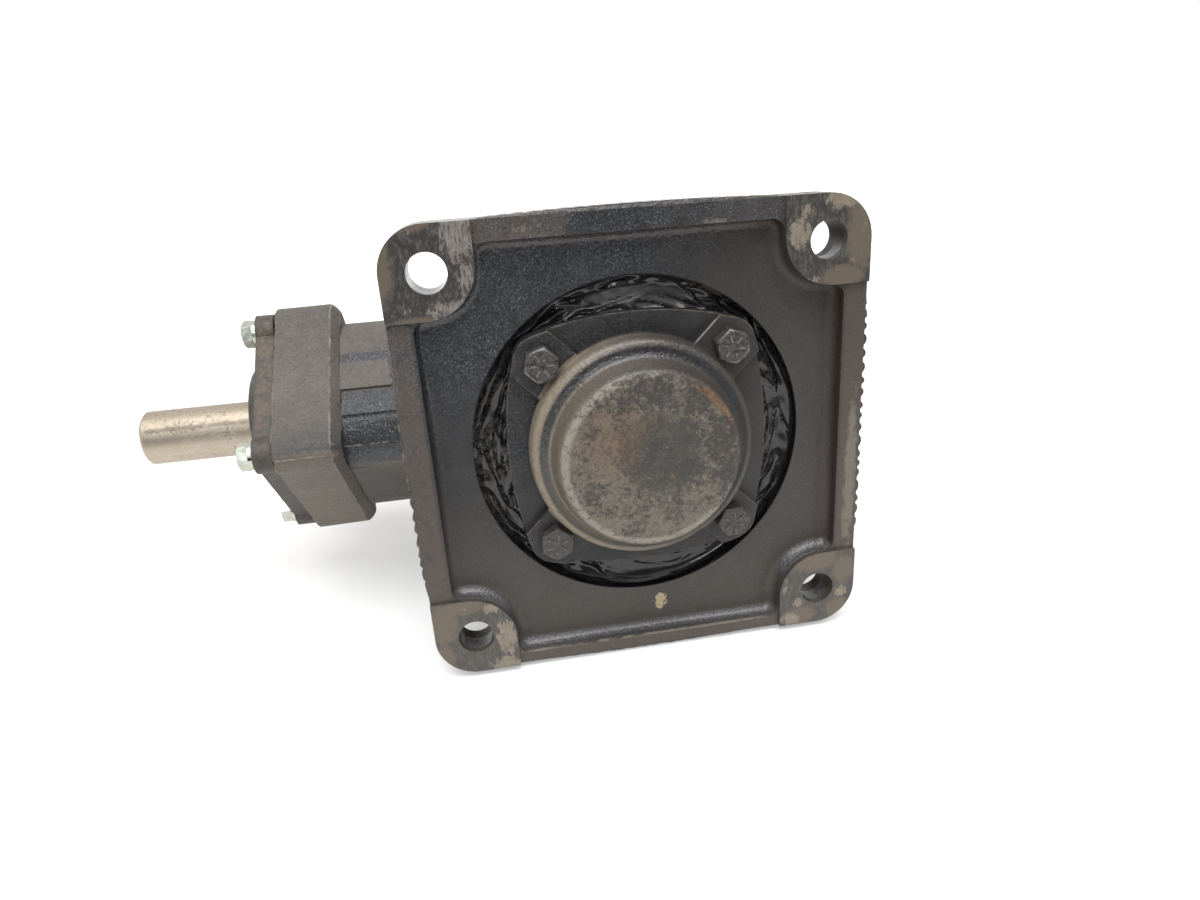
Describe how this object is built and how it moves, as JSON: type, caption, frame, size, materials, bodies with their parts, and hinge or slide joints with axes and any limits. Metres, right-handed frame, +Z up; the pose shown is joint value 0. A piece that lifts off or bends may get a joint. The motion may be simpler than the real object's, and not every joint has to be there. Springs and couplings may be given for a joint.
{
  "type": "right angle bevel gearbox",
  "caption": "Right angle bevel gearbox with a square bolting flange, domed front bearing cap, round barrel, side input shaft in a square necked block and output shaft at the back.",
  "frame": {"origin": "centre of the square of flange holes, on the face of the four corner pads", "axes": "+Y along the output shaft, away from the pads; -X along the input shaft; +Z up"},
  "size_m": [0.3163, 0.2437, 0.1902],
  "materials": {
    "case_iron": "black paint over cast iron, dusty and worn",
    "cap_iron": "worn black paint over turned cast iron, rusty face",
    "cover_iron": "black paint over cast iron, brown dust",
    "dark_bolt_steel": "black oiled steel",
    "zinc_bolt_steel": "dull pale yellow zinc plate",
    "shaft_steel": "ground steel with rust specks",
    "gear_steel": "oiled machined steel",
    "bearing_steel": "ground bearing steel",
    "cage_steel": "pressed steel",
    "spring_steel": "bright spring steel",
    "plug_steel": "black steel",
    "sealant": "glossy black sealant",
    "seal_rubber": "black oil seal rubber",
    "gasket_paper": "oily brown gasket paper"
  },
  "bodies": {
    "case": {"gear_case": "case_iron", "front_cap": "cap_iron", "front_cap_sealant": "sealant", "front_cap_bolts": "dark_bolt_steel", "rear_cover": "cover_iron", "rear_cover_gasket": "gasket_paper", "rear_cover_bolts": "zinc_bolt_steel", "rear_cover_lock_washers": "zinc_bolt_steel", "input_cap": "cover_iron", "input_cap_gasket": "gasket_paper", "input_cap_bolts": "zinc_bolt_steel", "input_cap_lock_washers": "zinc_bolt_steel", "oil_plugs": "plug_steel", "input_oil_seal": "seal_rubber", "input_garter_spring": "spring_steel", "output_oil_seal": "seal_rubber", "output_garter_spring": "spring_steel", "input_inner_bearing_cup": "bearing_steel", "input_outer_bearing_cup": "bearing_steel", "output_front_bearing_cup": "bearing_steel", "output_rear_bearing_cup": "bearing_steel"},
    "input_shaft": {"input_shaft": "shaft_steel", "bevel_pinion": "gear_steel", "pinion_key": "gear_steel", "pinion_retaining_ring": "spring_steel", "input_inner_bearing_cone": "bearing_steel", "input_outer_bearing_cone": "bearing_steel", "input_tab_washer": "gear_steel", "input_locknut": "gear_steel"},
    "output_shaft": {"output_shaft": "shaft_steel", "bevel_gear": "gear_steel", "gear_key": "gear_steel", "gear_spacer": "gear_steel", "output_front_bearing_cone": "bearing_steel", "output_rear_bearing_cone": "bearing_steel"},
    "input_inner_rollers": {"input_inner_bearing_rollers": "bearing_steel", "input_inner_bearing_cage": "cage_steel"},
    "input_outer_rollers": {"input_outer_bearing_rollers": "bearing_steel", "input_outer_bearing_cage": "cage_steel"},
    "output_front_rollers": {"output_front_bearing_rollers": "bearing_steel", "output_front_bearing_cage": "cage_steel"},
    "output_rear_rollers": {"output_rear_bearing_rollers": "bearing_steel", "output_rear_bearing_cage": "cage_steel"}
  },
  "joints": [
    {"name": "output_spin", "type": "hinge", "parent": "case", "child": "output_shaft", "pos_m": [0, 0.0918, 0], "axis": [0, 1, 0], "continuous": true},
    {"name": "input_spin", "type": "hinge", "parent": "case", "child": "input_shaft", "pos_m": [0, 0.0918, 0], "axis": [1, 0, 0], "continuous": true},
    {"name": "input_inner_rollers_spin", "type": "hinge", "parent": "case", "child": "input_inner_rollers", "pos_m": [0, 0.0918, 0], "axis": [1, 0, 0], "continuous": true},
    {"name": "input_outer_rollers_spin", "type": "hinge", "parent": "case", "child": "input_outer_rollers", "pos_m": [0, 0.0918, 0], "axis": [1, 0, 0], "continuous": true},
    {"name": "output_front_rollers_spin", "type": "hinge", "parent": "case", "child": "output_front_rollers", "pos_m": [0, 0.0918, 0], "axis": [0, 1, 0], "continuous": true},
    {"name": "output_rear_rollers_spin", "type": "hinge", "parent": "case", "child": "output_rear_rollers", "pos_m": [0, 0.0918, 0], "axis": [0, 1, 0], "continuous": true}
  ],
  "couplings": [
    {"joint": "input_spin", "follows": "output_spin", "ratio": -2},
    {"joint": "input_inner_rollers_spin", "follows": "output_spin", "ratio": -0.82714},
    {"joint": "input_outer_rollers_spin", "follows": "output_spin", "ratio": -0.82714},
    {"joint": "output_front_rollers_spin", "follows": "output_spin", "ratio": 0.41903},
    {"joint": "output_rear_rollers_spin", "follows": "output_spin", "ratio": 0.41903}
  ]
}
